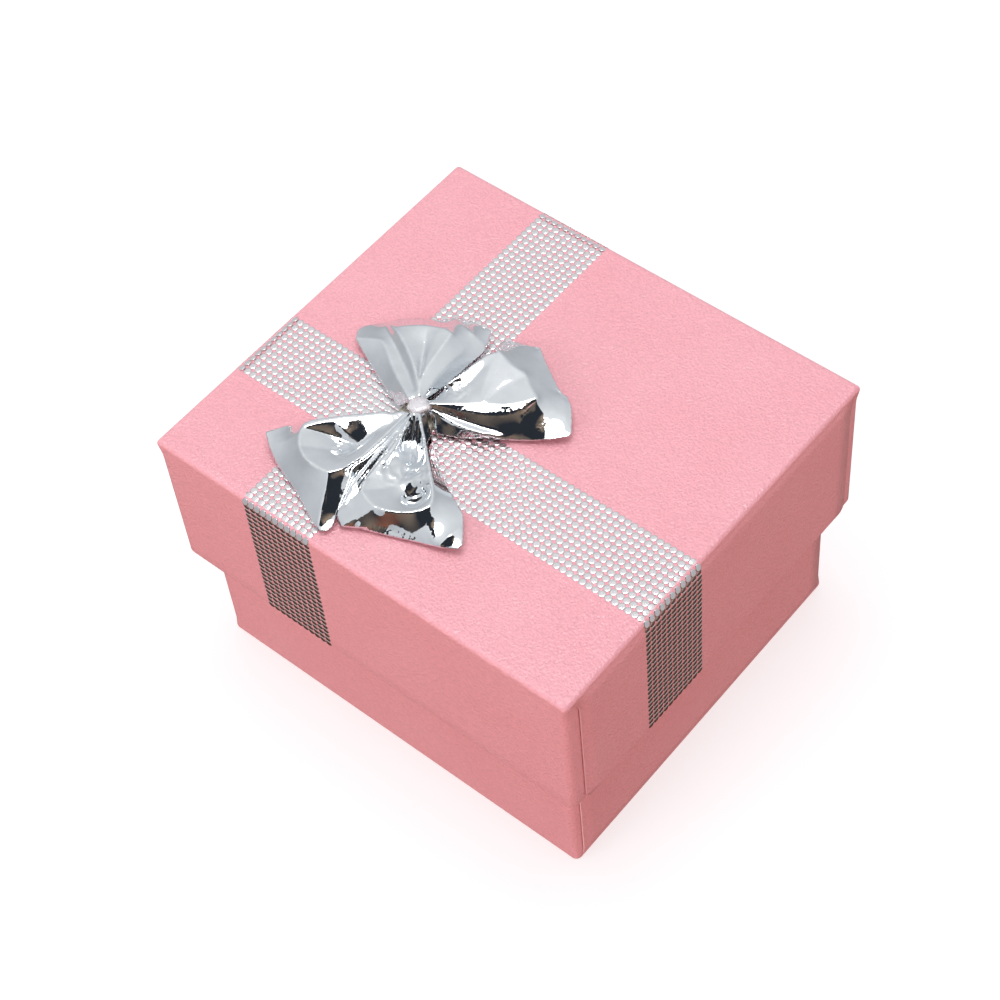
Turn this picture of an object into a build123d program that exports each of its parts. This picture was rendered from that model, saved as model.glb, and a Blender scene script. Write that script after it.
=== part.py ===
from build123d import *
import os

# A small rigid jewellery gift box: a paper-wrapped greyboard base with a foam ring pad,
# and a telescoping lift-off lid with two dotted foil bands and a glued bow of mirror film.
# Millimetres, +Z up, origin in the middle of the base's underside, on the table.

# ---- overall sizes ----
lid_length = 50.0  # along X, over the wrap paper
lid_width = 45.0  # along Y, over the wrap paper
lid_depth = 17.8  # from the lid's top face down to its rim
box_height = 32.5  # table to the lid's top face, without the bow

# ---- sheet materials ----
board = 1.2  # greyboard
paper = 0.18  # wrap paper with its glue
stay_paper = 0.12  # kraft corner stays, pressed flush into the board
foil = 0.08  # dotted foil bands

# ---- fits, each side ----
lid_clearance = 0.24  # between the lid's inner paper and the base's outer paper
pad_clearance = 0.1  # between the ring pad and the base's inner paper
lid_pad_clearance = 0.5  # between the lid's foam sheet and the base's inner paper

# ---- trays ----
fold_radius = 0.5  # outer radius of the paper over the panel's edges
corner_radius = 1.0  # outer radius of the paper round the upright corners
turn_in = 9.0  # how far the wrap runs down the inside of a wall
stay_leg = 6.0  # length of a corner stay on each wall
corner_slit = 0.1  # gap between the two walls that meet at a corner
lap_step = 0.07  # how far an end flap stands proud of the ear under it
lap_start = 1.0  # an end flap narrows this far below the panel
lid_lap = 1.8  # from the corner to the end flap's edge, on the lid
base_lap = 1.0  # the same on the base

# ---- foam ----
ring_pad_height = 18.5  # foam block in the base
velvet = 0.6  # flocked facing on the foam block
slit_width = 0.8
slit_length = 22.0  # ring slit along X
slit_depth = 13.0
chain_slit_length = 5.0  # the two short cuts across the ring slit's ends
lid_pad_height = 3.0  # foam sheet in the lid

# ---- foil bands ----
band_width = 8.2
long_band_inset = 15.4  # from the front (-Y) edge to the middle of the band along X
cross_band_inset = 15.6  # from the left (-X) edge to the middle of the band along Y

# ---- bow ----
pinch_inset_x = 18.7  # from the left edge to the pinched middle
pinch_inset_y = 16.8  # from the front edge to the pinched middle
pinch_radius = 0.9
pinch_height = 2.6  # top of the melted pinch above the foil
glue_radius = 2.0
glue_height = 0.6
bow_lift = 0.3  # underside of the film above the foil
film_edge_height = 1.4  # film height at a lobe's outer fold
crest_height = 4.3  # highest crease above the foil
crest_share = 0.72  # how far out along a lobe that crease lies
crest_narrowing = 0.84  # its length as a share of the lobe's width there
crest_dip = 0.7  # the middle of the crease is pressed in by this much
root_share = 0.06  # where a lobe leaves the pinch
# each lobe's two outer corners, as X and Y offsets from the pinch, to the left and right
lobe_corners = (
    ((2.0, 11.8), (13.5, 6.5)),
    ((-10.9, 3.8), (-0.9, 12.0)),
    ((1.6, -15.2), (-10.2, -10.0)),
    ((13.2, -9.2), (3.2, -14.2)),
)

# ---- sizes that follow ----
wall = board + 2 * paper  # a tray wall where the paper is turned in
base_length = lid_length - 2 * (wall + lid_clearance)
base_width = lid_width - 2 * (wall + lid_clearance)
base_depth = box_height - paper - board
pad_length = base_length - 2 * (wall + pad_clearance)
pad_width = base_width - 2 * (wall + pad_clearance)
lid_pad_length = base_length - 2 * (wall + lid_pad_clearance)
lid_pad_width = base_width - 2 * (wall + lid_pad_clearance)
pad_floor = paper + board
pad_top = pad_floor + ring_pad_height
lid_ceiling = box_height - paper - board
foil_top = box_height + foil
long_band_y = long_band_inset - lid_width / 2
cross_band_x = cross_band_inset - lid_length / 2
pinch = Vector(pinch_inset_x - lid_length / 2, pinch_inset_y - lid_width / 2, foil_top)

# A tray is drawn from its panel's outer face, looking along its walls.
base_plane = Plane.XY
lid_plane = Plane(origin=(0, 0, box_height), x_dir=(1, 0, 0), z_dir=(0, 0, -1))


def folded_block(plane, length, width, depth, inset):
    """A tray's outer shape, drawn in by the inset all round, with its folds rounded."""
    with BuildPart() as block:
        with BuildSketch(plane.offset(inset)):
            RectangleRounded(length - 2 * inset, width - 2 * inset, corner_radius - inset)
        extrude(amount=depth - 2 * inset)
        panel = block.faces().sort_by(Axis(plane.origin, plane.z_dir))[0]
        fillet(panel.edges(), radius=fold_radius - inset)
    return block.part


def build_stays(plane, length, width, depth):
    """The four kraft strips that hold a tray's corners, each bent round an upright edge."""
    outside = folded_block(plane, length, width, depth, paper)
    inside = folded_block(plane, length, width, depth, paper + stay_paper)
    stays = []
    for side_x, side_y in ((1, 1), (-1, 1), (-1, -1), (1, -1)):
        with BuildPart() as stay:
            with BuildSketch(plane.offset(paper + board)):
                with Locations((side_x * length / 2, side_y * width / 2)):
                    Rectangle(2 * (stay_leg + paper), 2 * (stay_leg + paper))
            extrude(amount=depth - board - 2 * paper - stay_paper)
            add(outside, mode=Mode.INTERSECT)
            add(inside, mode=Mode.SUBTRACT)
        stays.append(stay.part)
    return stays


def build_board(plane, length, width, depth, stays):
    """A scored and folded greyboard tray, with a slit where two walls meet."""
    outside = folded_block(plane, length, width, depth, paper)
    inner_length = length - 2 * (paper + board)
    inner_width = width - 2 * (paper + board)
    with BuildPart() as tray:
        add(outside)
        with BuildSketch(plane.offset(paper + board)):
            Rectangle(inner_length, inner_width)
            with GridLocations(inner_length + board, inner_width - corner_slit, 2, 2):
                Rectangle(2 * board, corner_slit)
        extrude(amount=depth, mode=Mode.SUBTRACT)
        for stay in stays:
            add(stay, mode=Mode.SUBTRACT)
    return tray.part


def build_wrap(plane, length, width, depth, lap):
    """The wrap paper: one sheet over panel and walls, folded over the rim and turned in."""
    skin = folded_block(plane, length, width, depth, 0)
    board_space = folded_block(plane, length, width, depth, paper)
    inner_length = length - 2 * (paper + board)
    inner_width = width - 2 * (paper + board)
    with BuildPart() as wrap:
        add(skin)
        add(board_space, mode=Mode.SUBTRACT)
        with BuildSketch(plane.offset(depth - turn_in)):
            Rectangle(inner_length, inner_width)
        extrude(amount=turn_in - paper)
        with BuildSketch(plane.offset(depth - turn_in)):
            Rectangle(inner_length - 2 * paper, inner_width - 2 * paper)
        extrude(amount=turn_in, mode=Mode.SUBTRACT)
        # each end flap stops short of the corners, where the ears under it show
        with BuildSketch(plane.offset(lap_start)):
            with GridLocations(length, width, 2, 2):
                Rectangle(2 * lap_step, 2 * lap)
        extrude(amount=depth, mode=Mode.SUBTRACT)
    return wrap.part


def build_pad_layer(low, height, cut_depth):
    """One layer of the base's ring pad, with the slits cut into its top."""
    with BuildPart() as layer:
        with BuildSketch(Plane.XY.offset(low)):
            Rectangle(pad_length, pad_width)
        extrude(amount=height)
        with BuildSketch(Plane.XY.offset(low + height)):
            Rectangle(slit_length, slit_width)
            with GridLocations(slit_length, 0, 2, 1):
                Rectangle(slit_width, chain_slit_length)
        extrude(amount=-cut_depth, mode=Mode.SUBTRACT)
    return layer.part


def build_band(long_way):
    """A foil band over the lid's top and down two walls, on the outside of the paper."""
    over = folded_block(lid_plane, lid_length, lid_width, lid_depth, -foil)
    under = folded_block(lid_plane, lid_length, lid_width, lid_depth, 0)
    reach = 2 * lid_length
    with BuildPart() as band:
        with BuildSketch(Plane.XY.offset(lid_rim)):
            if long_way:
                with Locations((0, long_band_y)):
                    Rectangle(reach, band_width)
            else:
                with Locations((cross_band_x, 0)):
                    Rectangle(band_width, reach)
                with Locations((0, long_band_y)):
                    Rectangle(reach, band_width, mode=Mode.SUBTRACT)
        extrude(amount=lid_depth + foil)
        add(over, mode=Mode.INTERSECT)
        add(under, mode=Mode.SUBTRACT)
    return band.part


def write(part, name):
    """Labels a finished piece and writes its file."""
    part.label = name
    export_step(part, f"parts/{name}.step")


lid_rim = box_height - lid_depth
os.makedirs("parts", exist_ok=True)

# ---- the two trays, each of board, corner stays and wrap paper ----
for tray_name, plane, length, width, depth, lap in (
    ("base", base_plane, base_length, base_width, base_depth, base_lap),
    ("lid", lid_plane, lid_length, lid_width, lid_depth, lid_lap),
):
    corner_stays = build_stays(plane, length, width, depth)
    for number, corner_stay in enumerate(corner_stays, 1):
        write(corner_stay, f"{tray_name}_corner_stay_{number}")
    write(build_board(plane, length, width, depth, corner_stays), f"{tray_name}_board")
    write(build_wrap(plane, length, width, depth, lap), f"{tray_name}_wrap")

# ---- the ring pad in the base: a foam block faced with flocked velvet ----
write(build_pad_layer(pad_floor, ring_pad_height, slit_depth), "ring_pad_foam")
write(build_pad_layer(pad_top, velvet, velvet), "ring_pad_velvet")

# ---- the foam sheet that the lid presses over the jewellery ----
with BuildPart() as lid_foam:
    with BuildSketch(Plane.XY.offset(lid_ceiling - lid_pad_height)):
        Rectangle(lid_pad_length, lid_pad_width)
    extrude(amount=lid_pad_height)
write(lid_foam.part, "lid_foam")

# ---- the dotted foil bands; the band along Y is broken by the one along X ----
write(build_band(long_way=True), "foil_band_long")
write(build_band(long_way=False), "foil_band_cross")

# ---- the drop of hot-melt glue under the bow ----
with BuildPart() as bow_glue:
    with BuildSketch(Plane.XY.offset(pinch.Z)):
        with Locations((pinch.X, pinch.Y)):
            Circle(glue_radius)
    extrude(amount=glue_height)
    fillet(bow_glue.edges().group_by(Axis.Z)[-1], glue_height / 2)
write(bow_glue.part, "bow_glue")

# ---- the bow: four puffed lobes of film, gathered and melted together at the pinch ----
with BuildPart() as bow_film:
    with BuildSketch(Plane.XY.offset(pinch.Z + glue_height)):
        with Locations((pinch.X, pinch.Y)):
            Circle(pinch_radius)
    extrude(amount=pinch_height - glue_height)
    for left_corner, right_corner in lobe_corners:
        left = Vector(*left_corner)
        right = Vector(*right_corner)
        across = (right - left).normalized()
        inward = across.cross(Vector(0, 0, 1))
        spread = (right - left).length
        for share, narrowing, low, high, dip in (
            (root_share, 1.0, glue_height, pinch_height, 0),
            (crest_share, crest_narrowing, bow_lift, crest_height, crest_dip),
            (1.0, 0.95, bow_lift, film_edge_height, 0.2),
        ):
            middle = pinch + (left + right) * (share / 2)
            half = spread * share / 2
            with BuildSketch(Plane(origin=middle, x_dir=across, z_dir=inward)):
                with BuildLine():
                    Polyline(
                        (-half, low),
                        (half, low),
                        (half * narrowing, high),
                        (0, high - dip),
                        (-half * narrowing, high),
                        close=True,
                    )
                make_face()
        loft(ruled=True)
    add(bow_glue.part, mode=Mode.SUBTRACT)
write(bow_film.part, "bow_film")
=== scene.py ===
import math

import bmesh
import bpy
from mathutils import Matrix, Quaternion, Vector, geometry, kdtree, noise
import numpy as np


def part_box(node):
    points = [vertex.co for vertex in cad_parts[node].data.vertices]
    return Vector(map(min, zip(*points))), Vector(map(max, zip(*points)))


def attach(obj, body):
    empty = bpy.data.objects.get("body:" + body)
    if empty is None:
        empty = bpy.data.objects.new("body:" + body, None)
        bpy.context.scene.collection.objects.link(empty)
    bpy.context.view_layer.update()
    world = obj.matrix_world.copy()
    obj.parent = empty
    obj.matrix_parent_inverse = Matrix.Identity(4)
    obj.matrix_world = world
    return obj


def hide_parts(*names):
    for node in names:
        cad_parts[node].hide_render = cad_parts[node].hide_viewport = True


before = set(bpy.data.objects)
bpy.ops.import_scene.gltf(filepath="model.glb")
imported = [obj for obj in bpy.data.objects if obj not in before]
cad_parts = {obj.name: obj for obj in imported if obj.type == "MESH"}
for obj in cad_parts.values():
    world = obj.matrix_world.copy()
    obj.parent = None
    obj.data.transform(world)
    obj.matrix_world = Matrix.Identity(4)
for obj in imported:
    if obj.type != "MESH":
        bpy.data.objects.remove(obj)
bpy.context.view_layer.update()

# ---------------------------------------------------------------- board trays and stays
# Each half of the box is a tray of 1.2 mm greyboard, cut, scored and folded, and its upright
# corners are held by glued kraft paper stays. Almost all of it is under the wrap paper.

MM = 0.001


def linear(hex_colour):
    """The linear values, as shader sockets take them, of an sRGB hex colour."""
    channels = [int(hex_colour[i:i + 2], 16) / 255 for i in (1, 3, 5)]
    return [c / 12.92 if c <= 0.04045 else ((c + 0.055) / 1.055) ** 2.4 for c in channels] + [1]


def add_node(tree, kind, settings=None, links=None):
    """Adds a node, sets its properties, and fills or links its inputs, named or numbered."""
    node = tree.nodes.new(kind)
    for key, value in (settings or {}).items():
        setattr(node, key, value)
    for key, value in (links or {}).items():
        if isinstance(value, bpy.types.NodeSocket):
            tree.links.new(value, node.inputs[key])
        else:
            node.inputs[key].default_value = value
    return node


def start_material(name, settings):
    """A material whose shader has these settings, with its tree, shader and place."""
    material = bpy.data.materials.new(name)
    material.use_nodes = True
    tree = material.node_tree
    shader = tree.nodes["Principled BSDF"]
    for key, value in settings.items():
        shader.inputs[key].default_value = value
    return material, tree, shader, add_node(tree, "ShaderNodeTexCoord").outputs["Object"]


def finish_material(tree, shader, colour, height, depth, strength=1.0):
    """Links a colour, and a bump of that height pattern, whose full depth is in metres."""
    bump = add_node(tree, "ShaderNodeBump", None, {"Height": height, "Distance": depth,
                                                   "Strength": strength})
    tree.links.new(colour, shader.inputs["Base Color"])
    tree.links.new(bump.outputs["Normal"], shader.inputs["Normal"])


# Greyboard is pressed waste pulp: matt and rough, with darker flecks about half a millimetre long.
greyboard, tree, shader, place = start_material("pressed greyboard", {"Roughness": 0.92})
pulp = add_node(tree, "ShaderNodeTexNoise", None, {"Vector": place, "Scale": 1 / (0.6 * MM), "Detail": 4})
flecks = add_node(tree, "ShaderNodeTexVoronoi", None, {"Vector": place, "Scale": 1 / (1.1 * MM)})
fleck_mask = add_node(tree, "ShaderNodeMapRange", None, {
    "Value": flecks.outputs["Distance"], "From Min": 0.05, "From Max": 0.25, "To Min": 0.7, "To Max": 0})
pulp_tone = add_node(tree, "ShaderNodeMix", {"data_type": "RGBA"}, {
    "Factor": pulp.outputs["Fac"], 6: linear("#857d74"), 7: linear("#b8b0a5")})
board_tone = add_node(tree, "ShaderNodeMix", {"data_type": "RGBA"}, {
    "Factor": fleck_mask.outputs["Result"], 6: pulp_tone.outputs[2], 7: linear("#6a625a")})
finish_material(tree, shader, board_tone.outputs[2], pulp.outputs["Fac"], 0.04 * MM)

# Kraft paper is unbleached: brown, with long fibres lying about one way.
kraft, tree, shader, place = start_material("unbleached kraft paper", {"Roughness": 0.8})
lie = add_node(tree, "ShaderNodeMapping", None, {"Vector": place, "Scale": (1, 1, 0.25)})
fibres = add_node(tree, "ShaderNodeTexNoise", None, {
    "Vector": lie.outputs["Vector"], "Scale": 1 / (0.3 * MM), "Detail": 5})
kraft_tone = add_node(tree, "ShaderNodeMix", {"data_type": "RGBA"}, {
    "Factor": fibres.outputs["Fac"], 6: linear("#96703f"), 7: linear("#c49b6a")})
finish_material(tree, shader, kraft_tone.outputs[2], fibres.outputs["Fac"], 0.02 * MM)

for tray in ("base", "lid"):
    for name, finish in [(f"{tray}_board", greyboard)] + [
            (f"{tray}_corner_stay_{number}", kraft) for number in (1, 2, 3, 4)]:
        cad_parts[name].data.materials.clear()
        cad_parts[name].data.materials.append(finish)

# ---------------------------------------------------------------- wrap paper
# Each tray is covered with one sheet of embossed pearlescent pink paper, glued down, folded
# over the rim and turned in. The end flaps lie over the ears of the long walls and stop just
# short of the corners, so that their cut edges show down each end.

# sizes in millimetres, as everywhere below
PAPER = 0.18
BOARD = 1.2
TURN_IN = 9.0
HIDDEN_FACE = 1.0
FOLD_RADIUS = 0.45
CORNER_RADIUS = 0.85
CORNER_OPENING = 1.5
RIM_RADIUS = 0.3
INNER_CORNER = 0.3
PANEL_SEAM = 0.2
PANEL_EDGE = (1.2, 0.8)
TUCK = 0.09
FLAP_STAND = 0.14
FLAP_EASE = 1.2
FLAP_GAP = 0.07
FLAP_SHOULDER = 1.9
FLAP_FOOT = 1.2
FLAP_ROUND = (0.8, 1.02)
GRAIN = 0.2

# Pearlescent paper has mica in its coating, and an embossed grain: a satin pink with a pale
# sheen, whose little hollows sparkle where a light glances off them.
wrap_paper, tree, shader, place = start_material("embossed pearlescent paper", {
    "Roughness": 0.46, "Specular IOR Level": 0.5, "Coat Weight": 0.7, "Coat Roughness": 0.1,
    "Sheen Weight": 0.1, "Sheen Roughness": 0.5})
grain = add_node(tree, "ShaderNodeTexNoise", None, {
    "Vector": place, "Scale": 1 / (GRAIN * MM), "Detail": 1.5})
pits = add_node(tree, "ShaderNodeTexVoronoi", {"feature": "SMOOTH_F1"}, {
    "Vector": place, "Scale": 1 / (1.3 * GRAIN * MM), "Smoothness": 0.5})
emboss = add_node(tree, "ShaderNodeMath", {"operation": "ADD"}, {
    0: grain.outputs["Fac"], 1: pits.outputs["Distance"]})
dye = add_node(tree, "ShaderNodeTexNoise", None, {"Vector": place, "Scale": 1 / (7 * MM), "Detail": 2})
dye_tone = add_node(tree, "ShaderNodeMix", {"data_type": "RGBA"}, {
    "Factor": dye.outputs["Fac"], 6: linear("#f1a8b1"), 7: linear("#f4b2bb")})
# The grain's noise also darkens the pink in the emboss's hollows and lightens it a little on its crests. This
# is painted shade and painted highlight of the emboss, on top of its bump.
emboss_painted_shade = add_node(tree, "ShaderNodeMapRange", None, {
    "Value": grain.outputs["Fac"], "From Min": 0.32, "From Max": 0.68, "To Min": 0.93, "To Max": 1.05})
dyed_paper_with_painted_shade = add_node(tree, "ShaderNodeMix", {"data_type": "RGBA", "blend_type": "MULTIPLY"}, {
    "Factor": 1, 6: dye_tone.outputs[2], 7: emboss_painted_shade.outputs["Result"]})
finish_material(tree, shader, dyed_paper_with_painted_shade.outputs[2], emboss.outputs[0], 0.06 * MM)
tree.links.new(shader.inputs["Normal"].links[0].from_socket, shader.inputs["Coat Normal"])


def finish_piece(name, shape, finish, body, node):
    """Makes a piece of a shape drawn in millimetres and gives it its finish. Given a body, it attaches the
    piece there and hides the node's CAD parts.
    """
    mesh = bpy.data.meshes.new(name)
    bmesh.ops.scale(shape, vec=(MM, MM, MM), verts=shape.verts)
    shape.to_mesh(mesh)
    shape.free()
    mesh.shade_smooth()
    mesh.materials.append(finish)
    piece = bpy.data.objects.new(name, mesh)
    bpy.context.scene.collection.objects.link(piece)
    if body:
        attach(piece, body)
        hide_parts(*node)
    return piece


def mottled_material(name, settings, size, detail, tones, depth, strength=1.0):
    """A material mottled between two tones, with mottles so large and a bump so deep, in mm."""
    material, tree, shader, place = start_material(name, settings)
    mottle = add_node(tree, "ShaderNodeTexNoise", None, {
        "Vector": place, "Scale": 1 / (size * MM), "Detail": detail}).outputs["Fac"]
    tone = add_node(tree, "ShaderNodeMix", {"data_type": "RGBA"}, {
        "Factor": mottle, 6: linear(tones[0]), 7: linear(tones[1])})
    finish_material(tree, shader, tone.outputs[2], mottle, depth * MM, strength)
    return material


# The undyed core of the paper shows pale, and a little frayed, along a cut edge.
cut_edge = mottled_material("cut paper edge", {"Roughness": 0.7}, 0.3, 2, ("#f2bfc2", "#fbe3e2"), 0.02)


def edge_loop(half_x, half_y, radius):
    """The same number of points for every ring, round an oblong with rounded corners."""
    counts, corner_steps = (44, 40), 6
    points = []
    turns = [(1, -1), (1, 1), (-1, 1), (-1, -1)]
    for quarter, (side_x, side_y) in enumerate(turns):
        centre = Vector((side_x * (half_x - radius), side_y * (half_y - radius), 0))
        for step in range(corner_steps + 1):
            angle = math.radians(90 * (quarter - 1 + step / corner_steps))
            points.append(centre + radius * Vector((math.cos(angle), math.sin(angle), 0)))
        next_x, next_y = turns[(quarter + 1) % 4]
        angle = math.radians(90 * quarter)
        end = Vector((next_x * (half_x - radius), next_y * (half_y - radius), 0))
        end += radius * Vector((math.cos(angle), math.sin(angle), 0))
        count = counts[1 - quarter % 2]
        points += [points[-1].lerp(end, share / count) for share in range(1, count)]
    return points


def wrap_profile(half_y, depth, fold_corner):
    """(inset, drop, corner radius) of each ring, from the panel's middle round to the turn-in."""
    profile = [((half_y - PANEL_SEAM) * (1 - share) + PANEL_EDGE[0] * share, 0, fold_corner)
               for share in (0, 0.12, 0.3, 0.5, 0.7, 0.85, 0.95, 1)]
    profile.append((PANEL_EDGE[1], 0, fold_corner))
    for step in range(7):
        turn = math.radians(15 * step)
        inset = FOLD_RADIUS * (1 - math.sin(turn))
        profile.append((inset, FOLD_RADIUS * (1 - math.cos(turn)), fold_corner))
    # down the wall, in rings that lie closer together near the fold
    wall = depth - FOLD_RADIUS - RIM_RADIUS
    for step in range(1, 17):
        fall = FOLD_RADIUS + wall * (step / 16) ** 1.5
        opened = min(1, (fall - FOLD_RADIUS) / CORNER_OPENING)
        profile.append((0, fall, fold_corner + (CORNER_RADIUS - fold_corner) * opened))
    for step in range(1, 5):
        turn = math.radians(22.5 * step)
        profile.append((RIM_RADIUS * (1 - math.cos(turn)), depth - RIM_RADIUS * (1 - math.sin(turn)),
                        CORNER_RADIUS))
    inner = BOARD + 2 * PAPER
    for step in range(5):
        turn = math.radians(22.5 * step)
        profile.append((inner - RIM_RADIUS * (1 - math.sin(turn)),
                        depth - RIM_RADIUS * (1 - math.cos(turn)), INNER_CORNER))
    for step in range(1, 5):
        profile.append((inner, depth - RIM_RADIUS - (TURN_IN - RIM_RADIUS) * step / 4, INNER_CORNER))
    # the turn-in's glued face, seen only as the thickness of its edge
    for up in (TURN_IN, HIDDEN_FACE):
        profile.append((inner - PAPER, depth - up, INNER_CORNER))
    return profile


def flap_stand(fall, full=FLAP_STAND):
    """How far an end flap stands out, at so much below the fold that it hangs from."""
    share = min(1, max(0, fall - FOLD_RADIUS) / FLAP_EASE)
    return full * share * share * (3 - 2 * share)


for tray, lap, fold_corner in (("base", 1.0, 0.65), ("lid", 1.8, 0.35)):
    low, high = (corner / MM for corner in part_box(f"{tray}_wrap"))
    half_x, half_y, depth = high.x, high.y, high.z - low.z
    panel, drop = (low.z, 1) if tray == "base" else (high.z, -1)
    skin = bmesh.new()
    rings = []
    for inset, fall, radius in wrap_profile(half_y, depth, fold_corner):
        tucked = flap_stand(fall, TUCK) if inset < BOARD else 0
        loop = edge_loop(half_x - tucked - inset, half_y - inset, min(radius, half_y - inset - 0.05))
        rings.append([skin.verts.new((p.x, p.y, panel + drop * fall)) for p in loop])
    for ring, following in zip(rings, rings[1:]):
        for i in range(len(ring)):
            j = (i + 1) % len(ring)
            skin.faces.new((ring[i], following[i], following[j], ring[j]))
    bmesh.ops.remove_doubles(skin, verts=rings[0], dist=0.06)
    panel_seam = [e for e in skin.edges if e.is_boundary and abs(e.verts[0].co.z - panel) < 0.01]
    bmesh.ops.holes_fill(skin, edges=panel_seam)
    # the end flaps: the panel's paper folded down each end wall, from the corner tuck to the rim
    for side in (1, -1):
        edge = half_y - lap
        start = half_y - fold_corner
        outline = [(start, FOLD_RADIUS)]
        for step in range(1, 11):
            turn = math.radians(9 * step)
            outline.append((edge + (start - edge) * (1 - math.sin(turn)),
                            FOLD_RADIUS + FLAP_SHOULDER * (1 - math.cos(turn))))
        straight = depth - FOLD_RADIUS - (FLAP_SHOULDER + FLAP_FOOT)
        outline += [(edge, FOLD_RADIUS + FLAP_SHOULDER + straight * step / 8) for step in range(1, 9)]
        for step in range(1, 6):
            turn = math.radians(18 * step)
            outline.append((edge - FLAP_ROUND[0] * (1 - math.cos(turn)),
                            depth - FLAP_FOOT + FLAP_ROUND[1] * math.sin(turn)))
        sheets = []
        for stand in (FLAP_STAND, FLAP_GAP - TUCK):
            rows = []
            for across, fall in outline:
                x = side * (half_x + flap_stand(fall, stand))
                rows.append([skin.verts.new((x, across * share / 12, panel + drop * fall))
                             for share in range(-12, 13)])
            for row, following in zip(rows, rows[1:]):
                for i in range(len(row) - 1):
                    skin.faces.new((row[i], row[i + 1], following[i + 1], following[i]))
            sheets.append(rows)
        rims = [[row[end] for row in rows] for rows in sheets for end in (0, -1)]
        rims += [rows[-1] for rows in sheets]
        for outer, inner in ((rims[0], rims[2]), (rims[1], rims[3]), (rims[4], rims[5])):
            for i in range(len(outer) - 1):
                cut = skin.faces.new((outer[i], outer[i + 1], inner[i + 1], inner[i]))
                cut.material_index = 1
                cut.smooth = False
    bmesh.ops.remove_doubles(skin, verts=skin.verts, dist=0.001)
    bmesh.ops.recalc_face_normals(skin, faces=skin.faces)
    wrap = finish_piece(f"{tray}_wrap_paper", skin, wrap_paper, tray, [f"{tray}_wrap"])
    wrap.data.materials.append(cut_edge)


# ---------------------------------------------------------------- foil dot bands
# Two crossing bands are hot-stamped on the lid's paper: eleven rows of little round foil discs,
# each raised by the stamp, flat on top and rounded at its edge, from rim to rim over the top.

DOT_PITCH = 0.763
DOT_ROWS = 11
DOT_COLUMNS = (115, 108)
DOT_RADIUS = 0.392
DOT_RISE = 0.055
DOT_SINK = 0.006
DOT_FLATNESS = 2.4
RING_SPREAD = -0.65
RIM_MARGIN = 0.02

# Stamping foil is vacuum-metallised aluminium: nearly a mirror, a little warm over pink paper.
stamped_foil = mottled_material("hot-stamped aluminium foil", {"Metallic": 1.0, "Roughness": 0.2},
                                0.5, 3, ("#e9e4e5", "#fdfbfb"), 0.01)

stamp = bpy.data.node_groups.new("stamped dots along a line", "GeometryNodeTree")
stamp.is_modifier = True
for name, kind in (("Line", "Geometry"), ("Columns", "Int"), ("Rows", "Int"), ("Band Width", "Float"),
                   ("Across", "Vector"), ("Dot Radius", "Float"), ("Dot Rise", "Float"),
                   ("Finish", "Material")):
    stamp.interface.new_socket(name, in_out="INPUT", socket_type=f"NodeSocket{kind}")
stamp.interface.new_socket("Dots", in_out="OUTPUT", socket_type="NodeSocketGeometry")
given = add_node(stamp, "NodeGroupInput").outputs
path = add_node(stamp, "GeometryNodeMeshToCurve", None, {"Mesh": given["Line"]})
spread = add_node(stamp, "GeometryNodeResampleCurve", None, {
    "Curve": path.outputs["Curve"], "Count": given["Columns"]})
columns = add_node(stamp, "GeometryNodeCurveToPoints", {"mode": "EVALUATED"}, {
    "Curve": spread.outputs["Curve"]})
sides = []
for half in (-0.5, 0.5):
    across = add_node(stamp, "ShaderNodeMath", {"operation": "MULTIPLY"}, {0: given["Band Width"], 1: half})
    sides.append(add_node(stamp, "ShaderNodeCombineXYZ", None, {"X": across.outputs[0]}).outputs[0])
row_line = add_node(stamp, "GeometryNodeMeshLine", {"mode": "END_POINTS"}, {
    "Count": given["Rows"], "Start Location": sides[0], "Offset": sides[1]})
cone = add_node(stamp, "GeometryNodeMeshCone", None, {
    "Vertices": 14, "Side Segments": 4, "Radius Bottom": given["Dot Radius"], "Radius Top": 0.0,
    "Depth": given["Dot Rise"]})
# the cone becomes a disc: its rings spread towards the edge, where the disc curves most
spot = add_node(stamp, "GeometryNodeInputPosition")
flat_spot = add_node(stamp, "ShaderNodeVectorMath", {"operation": "MULTIPLY"}, {
    0: spot.outputs[0], 1: (1, 1, 0)})
reach = add_node(stamp, "ShaderNodeVectorMath", {"operation": "LENGTH"}, {0: flat_spot.outputs[0]})
share = add_node(stamp, "ShaderNodeMath", {"operation": "DIVIDE"}, {
    0: reach.outputs["Value"], 1: given["Dot Radius"]})
off_centre = add_node(stamp, "ShaderNodeMath", {"operation": "MAXIMUM"}, {0: share.outputs[0], 1: 0.01})
spread_out = add_node(stamp, "ShaderNodeMath", {"operation": "POWER"}, {
    0: off_centre.outputs[0], 1: RING_SPREAD})
wide_spot = add_node(stamp, "ShaderNodeVectorMath", {"operation": "SCALE"}, {
    0: flat_spot.outputs[0], "Scale": spread_out.outputs[0]})
power = add_node(stamp, "ShaderNodeMath", {"operation": "POWER"}, {0: share.outputs[0], 1: DOT_FLATNESS})
left = add_node(stamp, "ShaderNodeMath", {"operation": "SUBTRACT"}, {0: 1.0, 1: power.outputs[0]})
rise = add_node(stamp, "ShaderNodeMath", {"operation": "MULTIPLY"}, {
    0: left.outputs[0], 1: given["Dot Rise"]})
sunk = add_node(stamp, "ShaderNodeMath", {"operation": "SUBTRACT"}, {0: rise.outputs[0], 1: DOT_SINK * MM})
raised = add_node(stamp, "ShaderNodeCombineXYZ", None, {"Z": sunk.outputs[0]})
disc_place = add_node(stamp, "ShaderNodeVectorMath", {"operation": "ADD"}, {
    0: wide_spot.outputs[0], 1: raised.outputs[0]})
disc = add_node(stamp, "GeometryNodeSetPosition", None, {
    "Geometry": cone.outputs["Mesh"], "Position": disc_place.outputs[0]})
row = add_node(stamp, "GeometryNodeInstanceOnPoints", None, {
    "Points": row_line.outputs["Mesh"], "Instance": disc.outputs["Geometry"]})
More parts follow.
